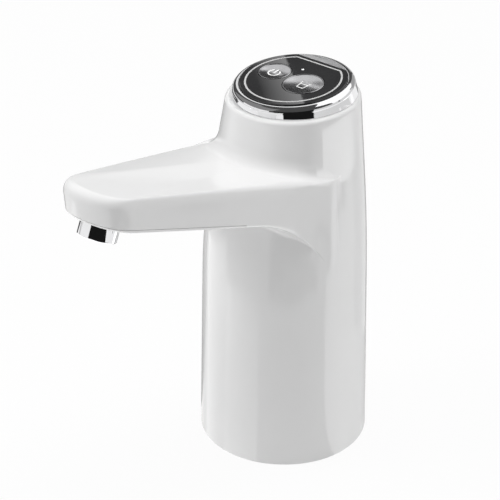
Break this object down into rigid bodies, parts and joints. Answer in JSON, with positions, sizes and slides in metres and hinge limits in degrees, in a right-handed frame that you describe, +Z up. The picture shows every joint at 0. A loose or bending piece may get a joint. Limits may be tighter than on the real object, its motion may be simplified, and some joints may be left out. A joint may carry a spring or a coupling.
{
  "type": "electric water bottle pump",
  "caption": "White electric pump that stands on a large water bottle's neck, with a broad rising spout, a bright nozzle and a round black key panel with a chrome ring.",
  "frame": {"origin": "centre of the bottle socket at the foot, in the plane that the body stands on", "axes": "+Z up along the socket's axis, the spout points along -Y, +X to the right seen from the spout's tip"},
  "size_m": [0.072, 0.1485, 0.1617],
  "materials": {
    "shell_white": "satin white moulded plastic",
    "bright_chrome": "mirror chrome",
    "panel_black": "glossy black sheet with a thin silver line",
    "key_satin": "satin plated, dished key",
    "lens_white": "clear light guide",
    "inner_white": "plain moulded plastic",
    "clear_white_plastic": "natural food-grade plastic",
    "dark_plastic": "matt black plastic",
    "pump_grey": "dark grey moulded plastic",
    "gear_plastic": "natural acetal",
    "silicone": "translucent silicone",
    "black_rubber": "matt black rubber",
    "steel": "bright steel",
    "core_steel": "stacked steel sheet",
    "magnet_grey": "ferrite",
    "bronze": "bronze and copper",
    "cell_blue": "shrink sleeve",
    "board_green": "circuit board with solder mask",
    "lead_red": "insulated wire"
  },
  "bodies": {
    "root": {"housing_shell": "shell_white", "spout_cover": "shell_white", "nozzle": "bright_chrome", "nozzle_nut": "dark_plastic", "nozzle_screen": "clear_white_plastic", "outlet_elbow": "clear_white_plastic", "outlet_tube": "silicone", "top_ring": "bright_chrome", "control_panel": "panel_black", "status_lens": "lens_white", "control_board": "board_green", "board_chips": "dark_plastic", "board_screws": "steel", "key_switches": "dark_plastic", "bottle_collar": "inner_white", "neck_seal": "silicone", "inlet_barb": "clear_white_plastic", "inlet_tube": "silicone", "pump_screws": "steel", "pump_cover": "pump_grey", "cover_gasket": "black_rubber", "pump_body": "pump_grey", "motor_plate": "pump_grey", "idler_pin": "steel", "shaft_seal": "black_rubber", "motor_screws": "steel", "motor_can": "steel", "motor_magnets": "magnet_grey", "motor_bushes": "bronze", "motor_brushes": "dark_plastic", "motor_end_cap": "inner_white", "battery_holder": "inner_white", "holder_screws": "steel", "battery_cell": "cell_blue", "battery_tabs": "steel", "charge_board": "board_green", "charge_socket": "steel", "battery_leads": "lead_red", "motor_leads": "lead_red", "board_leads": "lead_red"},
    "power_key_body": {"power_key": "key_satin", "power_plunger": "dark_plastic"},
    "dose_key_body": {"dose_key": "key_satin", "dose_plunger": "dark_plastic"},
    "rotor": {"motor_shaft": "steel", "rotor_core": "core_steel", "commutator": "bronze", "drive_gear": "gear_plastic"},
    "idler": {"idler_gear": "gear_plastic"}
  },
  "joints": [
    {"name": "power_key_press", "type": "slide", "parent": "root", "child": "power_key_body", "axis": [0, 0.1045, -0.9945], "range_m": [0, 0.0005], "stiffness_N_per_m": 3000},
    {"name": "dose_key_press", "type": "slide", "parent": "root", "child": "dose_key_body", "axis": [0, 0.1045, -0.9945], "range_m": [0, 0.0005], "stiffness_N_per_m": 3000},
    {"name": "rotor_spin", "type": "hinge", "parent": "root", "child": "rotor", "pos_m": [-0.006, -0.008, 0.0578], "axis": [0, 0, 1], "continuous": true},
    {"name": "idler_spin", "type": "hinge", "parent": "root", "child": "idler", "pos_m": [0.006, -0.008, 0.0578], "axis": [0, 0, 1], "continuous": true}
  ],
  "couplings": [
    {"joint": "idler_spin", "follows": "rotor_spin", "ratio": -1}
  ]
}
